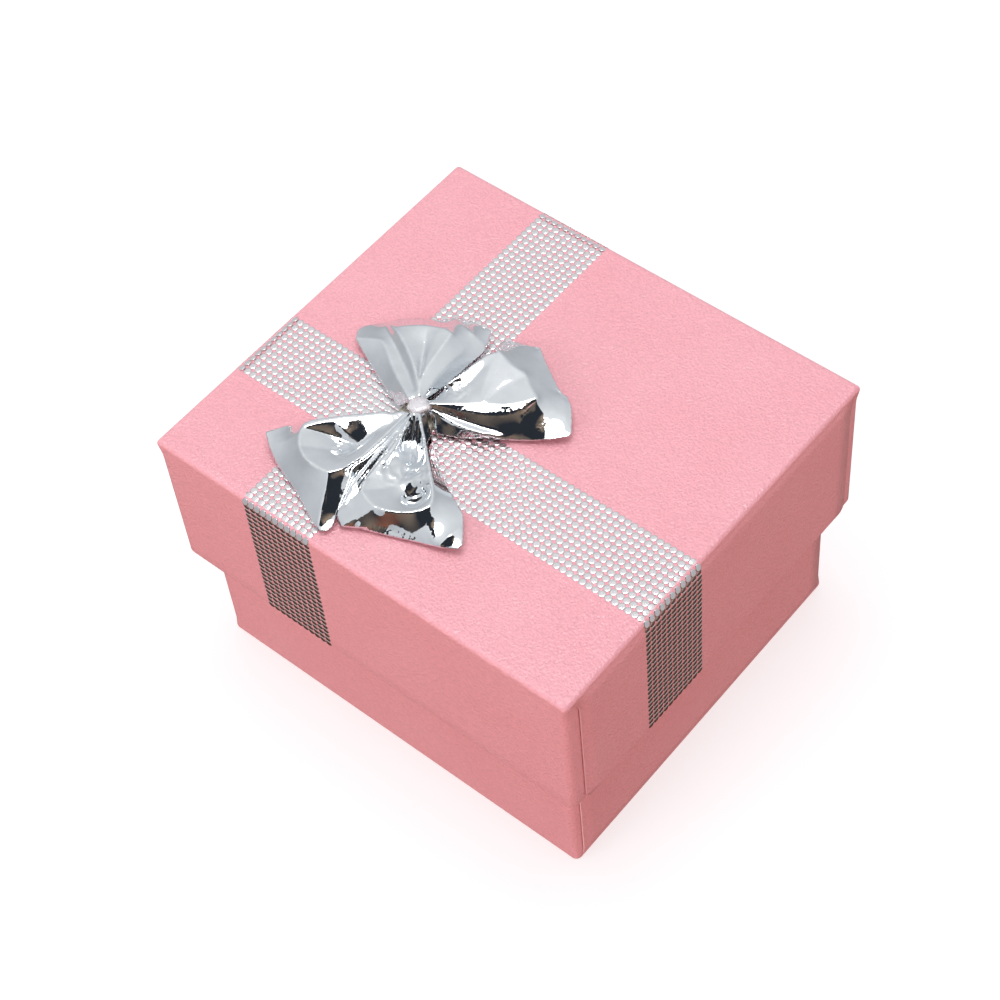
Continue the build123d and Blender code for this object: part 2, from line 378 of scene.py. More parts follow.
outward = add_node(stamp, "ShaderNodeVectorMath", {"operation": "CROSS_PRODUCT"}, {
    0: columns.outputs["Tangent"], 1: given["Across"]})
turn = add_node(stamp, "FunctionNodeAxesToRotation", {"primary_axis": "Z", "secondary_axis": "X"}, {
    0: outward.outputs[0], 1: given["Across"]})
dots = add_node(stamp, "GeometryNodeInstanceOnPoints", None, {
    "Points": columns.outputs["Points"], "Instance": row.outputs[0], "Rotation": turn.outputs[0]})
real_dots = add_node(stamp, "GeometryNodeRealizeInstances", None, {"Geometry": dots.outputs[0]})
smooth_dots = add_node(stamp, "GeometryNodeSetShadeSmooth", None, {"Geometry": real_dots.outputs[0]})
foiled = add_node(stamp, "GeometryNodeSetMaterial", None, {
    "Geometry": smooth_dots.outputs[0], "Material": given["Finish"]})
add_node(stamp, "NodeGroupOutput", None, {"Dots": foiled.outputs["Geometry"]})

lid_low, lid_high = (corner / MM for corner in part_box("lid_wrap"))
for name, node, along in (("foil_dots_long", "foil_band_long", 0),
                          ("foil_dots_cross", "foil_band_cross", 1)):
    low, high = (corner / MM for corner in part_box(node))
    half = lid_high[along]
    top, rim = lid_high.z, lid_low.z + DOT_RADIUS + RIM_MARGIN
    centre = ((low + high) / 2)[1 - along]
    stand = FLAP_STAND if along == 0 else 0
    profile = [(-half - flap_stand(top - rim, stand), rim)]
    profile += [(-half - flap_stand(fall, stand), top - fall) for fall in (2.2, 1.65, 1.35, 1.05, 0.75)]
    profile += [(-half + FOLD_RADIUS * (1 - math.cos(math.radians(a))),
                 top - FOLD_RADIUS * (1 - math.sin(math.radians(a)))) for a in range(0, 91, 10)]
    profile += [(-s, z) for s, z in reversed(profile)]
    line = bpy.data.meshes.new(name)
    points = [(s * MM, centre * MM, z * MM) if along == 0 else (centre * MM, s * MM, z * MM)
              for s, z in profile]
    line.from_pydata(points, [(i, i + 1) for i in range(len(points) - 1)], [])
    path_piece = bpy.data.objects.new(name, line)
    bpy.context.scene.collection.objects.link(path_piece)
    stamping = path_piece.modifiers.new("stamping", "NODES")
    stamping.node_group = stamp
    sockets = {item.name: item.identifier for item in stamp.interface.items_tree if item.in_out == "INPUT"}
    for key, value in (("Columns", DOT_COLUMNS[along]), ("Rows", DOT_ROWS), ("Finish", stamped_foil),
                       ("Band Width", DOT_PITCH * (DOT_ROWS - 1) * MM), ("Dot Radius", DOT_RADIUS * MM),
                       ("Dot Rise", DOT_RISE * MM), ("Across", ((0, 1, 0), (-1, 0, 0))[along])):
        stamping[sockets[key]] = value
    stamped = bpy.data.meshes.new_from_object(path_piece.evaluated_get(bpy.context.evaluated_depsgraph_get()))
    path_piece.modifiers.clear()
    path_piece.data = stamped
    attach(path_piece, "lid")
    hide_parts(node)

# ---------------------------------------------------------------- bow
# The bow is a strip of metallised film folded into four puffed lobes and melted together at the
# pinch. It is glued to the lid where the bands cross. Each lobe is film stretched over its
# creases, which are given here in millimetres from the pinch, with heights above the lid.

bow_lobes = {
    "front": {
        "outline": [(-0.1, -0.4, 2.2), (-0.3, -2.5, 1.9), (-0.8, -5.5, 1.6), (-0.9, -8.5, 1.3),
            (0.2, -10.9, 0.95), (1, -13, 0.65), (1.5, -13.3, 0.65), (2.6, -13.9, 0.55), (4.1, -13, 0.4),
            (6.7, -12, 0.35), (9.6, -10.9, 0.4), (11.7, -10.3, 0.7), (13.1, -9.6, 0.9), (13.2, -9, 1),
            (12.2, -7.7, 1.1), (11.1, -6.4, 1.15), (9.5, -5.6, 1), (6.9, -4.2, 0.8), (4.2, -2.3, 0.7),
            (2.2, -0.7, 1.1), (1, 0.1, 2.2)],
        "rim": [(0.4, -0.7, 2.6), (1, -3.1, 2.65), (1.5, -5.6, 2.65), (1.7, -8, 2.55), (2, -10, 2.45),
            (2.4, -10.5, 2.4), (3.2, -10.9, 2.35), (4.4, -11.2, 2.35), (5.7, -11, 2.35), (6.8, -10.4, 2.35),
            (7.7, -9.8, 2.4), (8.4, -8.9, 2.45), (8.7, -8.1, 2.5), (8.5, -7.5, 2.55), (7, -5.9, 2.6),
            (5.6, -4.6, 2.6), (3.2, -2.5, 2.6), (0.9, -0.6, 2.6)],
        "tongue": [(0.8, -0.8, 2.45), (1.1, -1.5, 1.7), (1.5, -2.3, 0.85), (2.1, -3.3, 0.6),
            (3.1, -4.6, 0.6)],
        "tongue side": [(0.7, -0.9, 2.5), (0.9, -1.9, 1.75), (1.2, -2.9, 1), (1.9, -4.1, 0.9)],
        "dish crease": [(2.5, -10.4, 2.3), (3.4, -9.1, 1.75), (4, -8.1, 1.5), (4, -6.8, 1.3),
            (3.7, -5.7, 1.15)],
        "dish swell": [(4.4, -7.2, 1.5), (5.1, -6.7, 1.9), (5.6, -6.1, 2.05), (5.9, -5.4, 2.3)],
        "dish toe": [(5.5, -8, 0.8), (6, -7.3, 0.6), (6.4, -6.7, 0.75)],
        "foot": [(3.7, -13.5, 0.75), (4.4, -12.9, 0.78), (5.3, -12.2, 0.76), (6.4, -11.6, 0.7),
            (7.8, -11.3, 0.62), (9.4, -10.9, 0.48)],
        "pillow side": [(8.8, -8.1, 2.45), (9.1, -8.9, 2.1), (9.7, -9.5, 1.6), (10.4, -10.1, 1.15),
            (11.5, -10.3, 0.78)],
        "pillow ridge": [(11.5, -10.3, 0.95), (11.8, -9.1, 1.45), (12, -7.7, 1.25)],
        "corner ridge": [(2.3, -10.4, 2.4), (1.9, -11.8, 1.6), (1.5, -13.2, 0.75)],
        "toe ridge": [(2.7, -13.9, 0.65), (3.6, -12.6, 1.35), (4.6, -11.3, 2.3)],
        "pleat": [(0.3, -0.8, 2.5), (0.4, -4.8, 2.35), (0.6, -9.2, 1.95), (1.3, -12.9, 0.85)],
        "pleat 2": [(0.2, -0.7, 2.4), (0.7, -4.9, 2.22), (1.1, -9.2, 1.9), (1.5, -12.6, 1.1)],
        "pleat 3": [(0.3, -0.7, 2.5), (1.1, -4.8, 2.48), (1.7, -9.4, 2.25), (1.9, -12.2, 1.5)],
        "pleat 4": [(0.3, -0.7, 2.4), (1.4, -5.1, 2.35), (1.8, -9.2, 2.2), (2, -11.6, 1.7)],
        "pleat 5": [(0.3, -0.7, 2.5), (1.7, -4.9, 2.35), (2.4, -8.6, 2.05), (2.6, -10.1, 2.2)],
        "pleat 6": [(0.3, -0.6, 2.4), (1.8, -4.6, 2), (2.2, -6.9, 1.7)],
    },
    "left": {
        "outline": [(-0.6, -1, 2.1), (-1.9, -1.6, 1.4), (-3.6, -2.6, 0.9), (-6.6, -5.3, 0.5), (-8, -7, 0.6),
            (-9.1, -8.6, 1.25), (-10.1, -10.3, 1.25), (-8.7, -11.3, 1.15), (-7.2, -12.1, 0.7),
            (-3.7, -13.3, 0.45), (0.4, -15.2, 0.45), (1.4, -15.4, 0.5), (1.9, -15.1, 0.5), (2, -14.3, 0.5),
            (1.5, -13.2, 0.8), (0.7, -10.8, 1.6), (0.1, -9.1, 2.1), (0.4, -7.4, 2.2), (0.5, -4.6, 2.2),
            (0.1, -0.9, 2.3)],
        "lip outer": [(-0.2, -0.8, 2.6), (-1.4, -2, 2.8), (-2.6, -3.4, 2.9), (-4, -4.8, 3), (-5.4, -6.2, 3),
            (-6.5, -7.4, 3), (-6.8, -8.2, 3), (-6.5, -9, 3), (-5.8, -10, 3), (-4.6, -10.9, 3),
            (-3.6, -11.3, 3), (-2.1, -11.3, 3), (-1, -11.1, 3), (-0.2, -10.1, 3), (0.3, -8.1, 2.95),
            (0.3, -5.2, 2.85), (0.2, -1, 2.6)],
        "lip inner": [(-0.4, -1.2, 2.6), (-1.4, -2.7, 2.8), (-2.3, -3.7, 2.85), (-3.3, -4.9, 2.9),
            (-4.4, -6, 2.9), (-5.7, -7.4, 2.95), (-6.3, -8.4, 2.95)],
        "wedge": [(-6.2, -8.4, 2.8), (-5.4, -7.8, 2.35), (-4.6, -7.3, 1.95), (-3.6, -6.8, 1.65),
            (-2.4, -6.5, 1.5), (-1.6, -6.2, 1.7), (-1.2, -5, 2.25), (-0.7, -3.1, 2.6), (-0.2, -1.3, 2.58)],
        "wedge ridge": [(-4.4, -6.3, 2.85), (-3.6, -6.4, 2.6), (-2.7, -6.4, 2.2), (-1.8, -6.3, 1.65)],
        "groove": [(-1.2, -10, 2.85), (-0.9, -8.9, 2.7), (-0.8, -7.6, 2.6), (-0.7, -6.1, 2.55),
            (-0.5, -3.8, 2.5), (-0.1, -1.1, 2.5)],
        "tip ridge": [(-8.7, -11.2, 1.15), (-7.5, -10.3, 1.9), (-6.3, -9.4, 2.95)],
        "skirt ridge": [(-1, -11.1, 2.95), (-0.3, -12.4, 2.25), (0.2, -13.7, 1.45), (0.9, -15.1, 0.75)],
        "dish fold": [(-5.2, -10.3, 2.85), (-4.2, -9.2, 2.35), (-2.9, -8.4, 2), (-2.1, -7.4, 1.7)],
    },
    "back": {
        "outline": [(-0.9, 0, 2.2), (-2.2, -0.3, 1), (-5.1, 0.9, 0.7), (-8.8, 2.6, 0.7), (-10.9, 3.5, 1.2),
            (-11.7, 4.6, 0.9), (-11.7, 5.6, 0.6), (-10.3, 7.3, 0.5), (-9.5, 8.4, 0.5), (-7.9, 9.7, 0.5),
            (-6.3, 10.5, 0.5), (-5.1, 11.7, 0.6), (-3.6, 12.2, 0.7), (-1, 12.3, 0.8), (-0.4, 11.1, 0.85),
            (0.1, 9.9, 0.8), (0, 7.7, 0.7), (0, 4, 1), (0.1, 1.1, 2.2)],
        "ridge one": [(-10.8, 3.6, 1.25), (-9.4, 4, 1.75), (-8.2, 4.3, 2.15), (-7.5, 4.1, 2.25),
            (-5.2, 2.5, 2.25), (-3.1, 1.3, 2.35), (-0.9, 0.1, 2.5)],
        "ridge two": [(-9.7, 6.9, 1.2), (-8.2, 6, 2.6), (-6.9, 5.5, 3), (-5.3, 4.7, 3), (-3.9, 3.9, 2.95),
            (-2.5, 2.9, 2.85), (-1.2, 1.8, 2.75), (-0.3, 0.9, 2.65)],
        "valley": [(-9.1, 6, 1.6), (-7.6, 5.1, 2), (-6.1, 4.3, 2.05), (-4.8, 3.5, 2.1), (-3.2, 2.6, 2.15),
            (-1.4, 1.3, 2.35)],
        "ridge three": [(-2.6, 8.5, 3), (-2.4, 7.2, 3), (-2.2, 5.7, 2.95), (-2, 4.2, 2.9), (-1.8, 3, 2.85),
            (-1.2, 2, 2.75)],
        "hollow": [(-5, 7.5, 2.75), (-4.1, 6.1, 2.45), (-3, 4.4, 2.35), (-1.8, 2.8, 2.45)],
        "fan": [(-6.1, 6.8, 2.8), (-4.7, 5.3, 2.78), (-3.2, 3.9, 2.75), (-1.6, 2.3, 2.72)],
        "fan 2": [(-3.8, 7.8, 2.95), (-3.3, 6.3, 2.8), (-2.7, 4.7, 2.75), (-1.7, 2.8, 2.7)],
        "crest": [(-7.8, 5.9, 2.7), (-7.3, 6.5, 2.75), (-6.6, 7.1, 2.75), (-5.5, 7.9, 2.8),
            (-4.3, 8.3, 2.9), (-3.5, 8.6, 3), (-2.6, 8.5, 3)],
        "flap fold": [(-4.7, 11.4, 1), (-3.2, 10.6, 1.8), (-1.8, 10.3, 1.95), (-1, 10.3, 1.5),
            (-0.2, 10.3, 1)],
        "side fold": [(-0.1, 1.2, 2.4), (-0.6, 3.6, 2.35), (-0.9, 6.1, 2.2), (-1.1, 8.3, 1.9)],
    },
    "right": {
        "outline": [(0.2, 1, 2.3), (0.2, 1.9, 1.6), (0.2, 4.5, 1), (0.6, 8, 0.8), (0.8, 10.3, 0.6),
            (0.5, 12.1, 0.6), (1.8, 12.8, 0.65), (4.3, 13.3, 1), (6, 12.1, 1.25), (7.8, 11, 1.25),
            (9.4, 10.1, 1.1), (10.1, 10.2, 0.95), (11.1, 9.5, 1.05), (11.9, 8.6, 1.1), (13.1, 7, 1),
            (13.2, 6.5, 0.9), (11.9, 5.3, 0.75), (10.4, 4.2, 0.55), (9.4, 3.6, 0.45), (7.9, 2.6, 0.4),
            (6.5, 1.8, 0.4), (4.7, 0.5, 0.4), (2.7, -0.4, 0.5), (1.6, 0.2, 1.2), (1, 0.4, 2.2)],
        "crest": [(0.3, 0.9, 2.7), (0.6, 2.3, 2.85), (0.9, 3.7, 3), (1.3, 5.4, 3.1), (1.6, 7, 3.2),
            (1.9, 8.2, 3.3), (2.6, 9.1, 3.4)],
        "right rim": [(2.7, 9.2, 3.4), (3.5, 9, 3.3), (4.5, 8.7, 3.2), (5.4, 8.7, 3.1), (6.2, 8.8, 3),
            (7, 8.2, 2.95), (7.9, 7.7, 2.9), (8.9, 7.3, 2.8)],
        "lip top": [(0.8, 0.5, 2.7), (1.9, 1.4, 2.65), (3.3, 2.5, 2.65), (4.9, 3.6, 2.7), (6.9, 4.8, 2.75),
            (7.8, 5.7, 2.75), (8.5, 6.6, 2.8), (8.9, 7.2, 2.8)],
        "lip edge": [(1.2, 0.8, 2.5), (2.4, 1.4, 2.4), (3.7, 2, 2.35), (5.7, 3, 2.35), (7.5, 4.3, 2.4),
            (8.6, 5.6, 2.5), (9, 7, 2.65)],
        "double ridge": [(2.6, 9, 3.35), (3.1, 7.4, 3.2), (3.7, 5.8, 3), (4.2, 4.8, 2.9), (4.8, 3.7, 2.75)],
        "double ridge 2": [(2.8, 9, 3.35), (3.6, 7.7, 3.2), (4.4, 6.3, 3), (4.8, 5, 2.9), (5.1, 3.8, 2.8)],
        "facet": [(6.4, 8.5, 2.95), (6, 7.5, 2.88), (5.6, 6.7, 2.82), (5.3, 5.6, 2.76), (5.2, 4.4, 2.74)],
        "pocket": [(0.9, 1.1, 2.6), (1.5, 1.9, 2.45), (2, 2.9, 2.4), (2.4, 4.1, 2.5), (2.5, 5.4, 2.7),
            (2.5, 7, 2.95)],
        "pocket lip": [(1.1, 3.5, 2.85), (1.6, 4.4, 2.7), (2.4, 4.8, 2.7), (3.3, 4.2, 2.65),
            (3.7, 3.1, 2.65)],
        "mouth floor": [(1.3, 0.7, 2.25), (2.5, 1.2, 1.8), (3.9, 1.6, 1.6), (6.2, 2.3, 1.35),
            (7.7, 3, 1.15), (8.8, 3.4, 0.85)],
        "mouth edge": [(1.5, 0.5, 2.2), (2.6, 0.8, 1.85), (3.7, 0.9, 1.62), (5.3, 1.2, 1.45),
            (6.7, 1.7, 1.3), (7.9, 2.4, 1), (8.7, 3, 0.7)],
        "pillow side": [(9, 7.1, 2.7), (8.7, 6.1, 2.3), (8.7, 5.4, 1.95), (9, 4.8, 1.55), (9.5, 4.3, 1.1),
            (10.4, 4.2, 0.65)],
        "pillow ridge": [(10.2, 9.4, 1.3), (10.5, 7.8, 1.55), (10.5, 6.6, 1.5), (10.4, 5.3, 1.15),
            (10.3, 4.3, 0.75)],
        "pillow ridge two": [(10.3, 9.4, 1.3), (11.6, 8, 1.3), (12.7, 6.5, 1)],
        "pillow crease": [(7.9, 8.9, 2.3), (8.3, 9.4, 1.85), (8.7, 9.8, 1.45), (9.3, 10.1, 0.95)],
        "skirt crease": [(2.6, 9.4, 3.3), (2.4, 10.6, 2.3), (2.5, 11.7, 1.6), (3, 12.7, 1.15),
            (4.1, 13.3, 0.8)],
    },
}
# (x, y, reach, depth, size) of the places where the film is crumpled, in millimetres
bow_crumples = {
    "front": [(3.2, -6.6, 1.8, 0.12, 0.9), (5.4, -5.8, 1.4, 0.1, 0.7)],
    "left": [(-2.3, -8.0, 1.4, 0.08, 0.9)],
    "right": [(2.3, 3.4, 1.2, 0.1, 0.7)],
}
PINCH = (-6.19, -5.74)
LEAN = (0.33, -0.33)
FILM_GRID = 0.13
UNDERSIDE_GRID = 0.6
UNDERSIDE = 0.38
WELD_PLACE = (PINCH[0] + 0.25, PINCH[1] + 0.25)
WELD_RINGS = [(0.7, 0.25), (0.7, 1.0), (0.8, 2.1), (1.0, 2.42), (0.88, 2.56), (0.6, 2.64), (0.3, 2.66)]
WELD_SIDES = 24
WELD_PUCKER = (0.3, 1.7)


def follow(points, step):
    """Points spaced evenly, no further apart than step, along a line through these points."""
    spaced = [Vector(points[0])]
    for start, end in zip(points, points[1:]):
        start, end = Vector(start), Vector(end)
        pieces = max(1, math.ceil((end - start).length / step))
        spaced += [start.lerp(end, share / pieces) for share in range(1, pieces + 1)]
    return spaced


def soften(points, times):
    """Takes the corners off a line, and leaves its ends where they are."""
    for _ in range(times):
        middles = [(a + 2 * b + c) / 4 for a, b, c in zip(points, points[1:], points[2:])]
        points = [points[0]] + middles + [points[-1]]
    return points


def laid_flat(point):
    """Where a point comes on a plan drawn leaning towards the front, which opens the front walls."""
    return Vector((point[0] - LEAN[0] * point[2], point[1] - LEAN[1] * point[2]))


def stretch_film(edge, creases, grid):
    """Film stretched like a soap film between its edge and its creases: points and triangles."""
    fixed, segments = list(edge), [(i, (i + 1) % len(edge)) for i in range(len(edge))]
    for crease in creases:
        first = len(fixed)
        fixed += crease
        segments += [(first + i, first + i + 1) for i in range(len(crease) - 1)]
    plan = [laid_flat(point) for point in fixed]
    near = kdtree.KDTree(len(plan))
    for i, spot in enumerate(plan):
        near.insert((spot.x, spot.y, 0), i)
    near.balance()
    low = Vector((min(p.x for p in plan), min(p.y for p in plan)))
    high = Vector((max(p.x for p in plan), max(p.y for p in plan)))
    row_gap = grid * math.sqrt(3) / 2
    free = []
    for row in range(int((high.y - low.y) / row_gap) + 1):
        for column in range(int((high.x - low.x) / grid) + 1):
            spot = low + Vector(((column + 0.5 * (row % 2)) * grid, row * row_gap))
            if near.find((spot.x, spot.y, 0))[2] > 0.6 * grid:
                free.append(spot)
    spots, _, faces, sources, _, _ = geometry.delaunay_2d_cdt(
        plan + free, segments, [list(range(len(edge)))], 1, 1e-6)
    heights = np.full(len(spots), np.nan)
    for i, source in enumerate(sources):
        given_heights = [fixed[s][2] for s in source if s < len(fixed)]
        if given_heights:
            heights[i] = max(given_heights)
    known = ~np.isnan(heights)
    heights[~known] = heights[known].mean()
    flat = np.array([(s.x, s.y) for s in spots])
    corners = np.array(faces)
    ends, weights = [], []
    for turn in range(3):
        a, b, c = (corners[:, (turn + k) % 3] for k in range(3))
        to_b, to_c = flat[b] - flat[a], flat[c] - flat[a]
        area = np.abs(to_b[:, 0] * to_c[:, 1] - to_b[:, 1] * to_c[:, 0]) + 1e-9
        ends.append(np.stack([b, c], 1))
        weights.append(np.clip((to_b * to_c).sum(1) / area, 0.02, 20))
    ends, weights = np.concatenate(ends), np.concatenate(weights)

    def pull(values):
        tug = weights * (values[ends[:, 0]] - values[ends[:, 1]])
        total = np.bincount(ends[:, 0], tug, len(spots)) - np.bincount(ends[:, 1], tug, len(spots))
        total[known] = 0
        return total

    # conjugate gradients bring every free point level with its neighbours
    rest = -pull(heights)
    step, size = rest.copy(), rest @ rest
    for _ in range(1500):
        if size < 1e-12:
            break
        tension = pull(step)
        move = size / (step @ tension)
        heights += move * step
        rest -= move * tension
        size, previous = rest @ rest, size
        step = rest + size / previous * step
    edge_marks = np.zeros(len(spots), bool)
    for i, source in enumerate(sources):
        edge_marks[i] = any(s < len(edge) for s in source)
    return flat, heights, corners, edge_marks, ends


def even_out(heights, held, ends, times):
    """Rounds sharp creases a little, as film thickness does."""
    count = np.bincount(ends.ravel(), minlength=len(heights))
    for _ in range(times):
        total = np.bincount(ends[:, 0], heights[ends[:, 1]], len(heights))
        total += np.bincount(ends[:, 1], heights[ends[:, 0]], len(heights))
        heights = np.where(held, heights, 0.5 * heights + 0.5 * total / np.maximum(count, 1))
    return heights


lid_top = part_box("lid_wrap")[1].z / MM
bow = bmesh.new()
for lobe, lines in bow_lobes.items():
    edge = soften(follow(lines["outline"] + lines["outline"][:1], FILM_GRID), 2)[:-1]
    creases = [soften(follow(line, FILM_GRID), 3) for name, line in lines.items() if name != "outline"]
    for over, inner_creases, grid in ((True, creases, FILM_GRID), (False, [], UNDERSIDE_GRID)):
        flat, heights, corners, held, ends = stretch_film(edge, inner_creases, grid)
        if over:
            heights = even_out(heights, held, ends, 2)
            for cx, cy, reach, depth, scale in bow_crumples.get(lobe, []):
                for i in np.flatnonzero(~held):
                    x, y = flat[i][0] + LEAN[0] * heights[i], flat[i][1] + LEAN[1] * heights[i]
                    fade = 1 - math.hypot(x - cx, y - cy) / reach
                    if fade > 0:
                        wave = 1 - 2 * abs(noise.noise((x / scale, y / scale, cx)))
                        heights[i] += depth * wave * min(1, 2 * fade)
        else:
            heights[~held] = UNDERSIDE
        verts = [bow.verts.new((PINCH[0] + x + LEAN[0] * h, PINCH[1] + y + LEAN[1] * h, lid_top + h))
                 for (x, y), h in zip(flat, heights)]
        for a, b, c in corners:
            order = (a, b, c) if over else (c, b, a)
            bow.faces.new([verts[k] for k in order])
bmesh.ops.remove_doubles(bow, verts=bow.verts, dist=0.002)

# Metallised polyester film is a mirror: aluminium on clear film, cool grey, faintly uneven.
mirror_film = mottled_material("metallised polyester film", {"Metallic": 1.0, "Roughness": 0.05},
                               1.6, 3, ("#e3e6e9", "#f7f9fb"), 0.03, 0.4)
finish_piece("bow_film_lobes", bow, mirror_film, "lid", ["bow_film"])

# The pinch is where a hot tool melted the four roots into one pale, puckered spot.
melted_film = mottled_material("melted film", {"Roughness": 0.45, "Metallic": 0.3},
                               0.5, 3, ("#cccbce", "#e6e5e8"), 0.05)


def join_rings(shape, ring, following):
    """A band of faces between two rings of as many points."""
    for i in range(len(ring)):
        j = (i + 1) % len(ring)
        shape.faces.new((ring[i], ring[j], following[j], following[i]))


weld = bmesh.new()
weld_rings = []
for radius, height in WELD_RINGS:
    ring = []
    for step in range(WELD_SIDES):
        angle = math.radians(360 / WELD_SIDES * step)
        pucker = noise.noise((math.cos(angle) * WELD_PUCKER[1], math.sin(angle) * WELD_PUCKER[1], height))
        spread = radius * (1 + WELD_PUCKER[0] * pucker)
        ring.append(weld.verts.new((WELD_PLACE[0] + spread * math.cos(angle),
                                    WELD_PLACE[1] + spread * math.sin(angle), lid_top + height)))
    weld_rings.append(ring)
for ring, following in zip(weld_rings, weld_rings[1:]):
    join_rings(weld, ring, following)
weld.faces.new(weld_rings[-1])
weld.faces.new(list(reversed(weld_rings[0])))
finish_piece("bow_pinch", weld, melted_film, "lid", ["bow_film"])

# Hot-melt glue is a cloudy, waxy drop pressed flat between the pinch and the foil.
hot_melt = mottled_material("hot-melt glue", {
    "Roughness": 0.3, "Transmission Weight": 0.4, "IOR": 1.48}, 0.8, 2, ("#e9dfc8", "#f7f2e4"), 0.05)
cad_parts["bow_glue"].data.materials.clear()
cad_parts["bow_glue"].data.materials.append(hot_melt)

# ---------------------------------------------------------------- ring pad and lid foam
# Inside, a block of foam under a flocked velvet cover holds a ring in its slit, and a thin foam
# sheet under the lid presses on it. They are friction fitted, soft, and can be pulled out.

PAD_CORNER = 1.0
PAD_EDGE = 0.9
PAD_CROWN = 0.5
COVER_SKIRT = 4.0
COVER_THICKNESS = 0.4
CUT_DEPTH = 13
CUT_LIP = (0.5, 0.35)
CUT_WALL = 0.1
WAIST = 0.006
SHEET_CROWN = 0.3

# Flocked velvet is short upright nylon pile on a backing: soft pale grey, with a pale edge sheen.
velvet, tree, shader, place = start_material("flocked velvet", {
    "Roughness": 0.95, "Sheen Weight": 0.8, "Sheen Roughness": 0.35, "Specular IOR Level": 0.1})
pile = add_node(tree, "ShaderNodeTexNoise", None, {"Vector": place, "Scale": 1 / (0.25 * MM), "Detail": 4})
nap = add_node(tree, "ShaderNodeTexNoise", None, {"Vector": place, "Scale": 1 / (6 * MM), "Detail": 2})
nap_mix = add_node(tree, "ShaderNodeMath", {"operation": "MULTIPLY"}, {
    0: pile.outputs["Fac"], 1: nap.outputs["Fac"]})
velvet_tone = add_node(tree, "ShaderNodeMix", {"data_type": "RGBA"}, {
    "Factor": nap_mix.outputs[0], 6: linear("#c9c4c2"), 7: linear("#ffffff")})
finish_material(tree, shader, velvet_tone.outputs[2], pile.outputs["Fac"], 0.12 * MM)

# Polyurethane foam is cut from a block: matt, with open cells about 0.45 mm across.
foam, tree, shader, place = start_material("open-cell polyurethane foam", {"Roughness": 0.95})
cells = add_node(tree, "ShaderNodeTexVoronoi", None, {"Vector": place, "Scale": 1 / (0.45 * MM)})
foam_tone = add_node(tree, "ShaderNodeMix", {"data_type": "RGBA"}, {
    "Factor": cells.outputs["Distance"], 6: linear("#d9d4cc"), 7: linear("#f6f3ee")})
finish_material(tree, shader, foam_tone.outputs[2], cells.outputs["Distance"], 0.15 * MM)


def close_lines(half, marks):
    """Grid lines from -half to half, closer together at both edges and round each mark."""
    lines = [half * share / 16 for share in range(-16, 17)]
    for gap in (0, 0.06, 0.2, 0.45, 0.75, 1.1):
        lines += [half - gap, gap - half]
    for mark in marks:
        for gap in (0, 0.15, 0.28, 0.36, 0.44, 0.54, 0.7, 0.95):
            lines += [mark - gap, mark + gap]
    kept = []
    for line in sorted(lines):
        if not kept or line - kept[-1] > 0.05:
            kept.append(line)
    return kept


def pad_form(low, high, crown, cuts, cut_reach, bottom):
    """A soft block: crowned top with rounded edges and cuts, walls, and a bottom or an open skirt."""
    half_x, half_y = high.x, high.y
    x_lines = close_lines(half_x, sorted({x for cut in cuts for x in cut[::2]}))
    y_lines = close_lines(half_y, sorted({y for cut in cuts for y in cut[1::2]}))
    form = bmesh.new()

    def spot(x, y):
        """Where a grid crossing lies, with the square's corners rounded off."""
        over_x, over_y = abs(x) - half_x + PAD_CORNER, abs(y) - half_y + PAD_CORNER
        if over_x > 0 and over_y > 0:
            fit = max(over_x, over_y) / math.hypot(over_x, over_y)
            x = math.copysign(half_x - PAD_CORNER + over_x * fit, x)
            y = math.copysign(half_y - PAD_CORNER + over_y * fit, y)
        return x, y

    def top(x, y):
        """The height of the top at a grid crossing."""
        inboard = min(half_x - abs(x), half_y - abs(y), PAD_EDGE)
        height = high.z - crown * ((x / half_x) ** 2 + (y / half_y) ** 2) / 2
        height -= 0.6 * (PAD_EDGE - math.sqrt(PAD_EDGE ** 2 - (PAD_EDGE - inboard) ** 2))
        for x1, y1, x2, y2 in cuts:
            away = math.hypot(x - min(max(x, x1), x2), y - min(max(y, y1), y2))
            lip = min(max((cut_reach + CUT_LIP[1] - away) / CUT_LIP[1], 0), 1)
            sunk = min(max((cut_reach - away) / CUT_WALL, 0), 1)
            height = min(height, high.z - CUT_LIP[0] * lip * lip - (CUT_DEPTH - CUT_LIP[0]) * sunk)
        return height

    def grid(height_at):
        """The crossings' points, one list for each x line."""
        return [[form.verts.new((*spot(x, y), height_at(x, y))) for y in y_lines] for x in x_lines]

    def fill(columns):
        """A face between every four crossings."""
        for column, following in zip(columns, columns[1:]):
            for i in range(len(column) - 1):
                form.faces.new((column[i], column[i + 1], following[i + 1], following[i]))

    def rim_of(columns):
        """The crossings round the outside, in order."""
        return columns[0][:-1] + [column[-1] for column in columns[:-1]] + columns[-1][:0:-1] + [
            column[0] for column in columns[:0:-1]]

    above = grid(top)
    fill(above)
    ring = rim_of(above)
    floor_height = low.z if bottom else high.z - COVER_SKIRT
    for share in (0.1, 0.3, 0.5, 0.7, 0.9) + (() if bottom else (1,)):
        lower = []
        for start in rim_of(above):
            kept = 1 - WAIST * math.sin(math.pi * share)
            height = start.co.z + (floor_height - start.co.z) * share
            lower.append(form.verts.new((start.co.x * kept, start.co.y * kept, height)))
        join_rings(form, ring, lower)
        ring = lower
    if bottom:
        below = grid(lambda x, y: floor_height)
        fill(below)
        join_rings(form, ring, rim_of(below))
    bmesh.ops.recalc_face_normals(form, faces=form.faces)
    if not bottom and sum(face.normal.z for face in form.faces) < 0:
        bmesh.ops.reverse_faces(form, faces=form.faces)
    return form


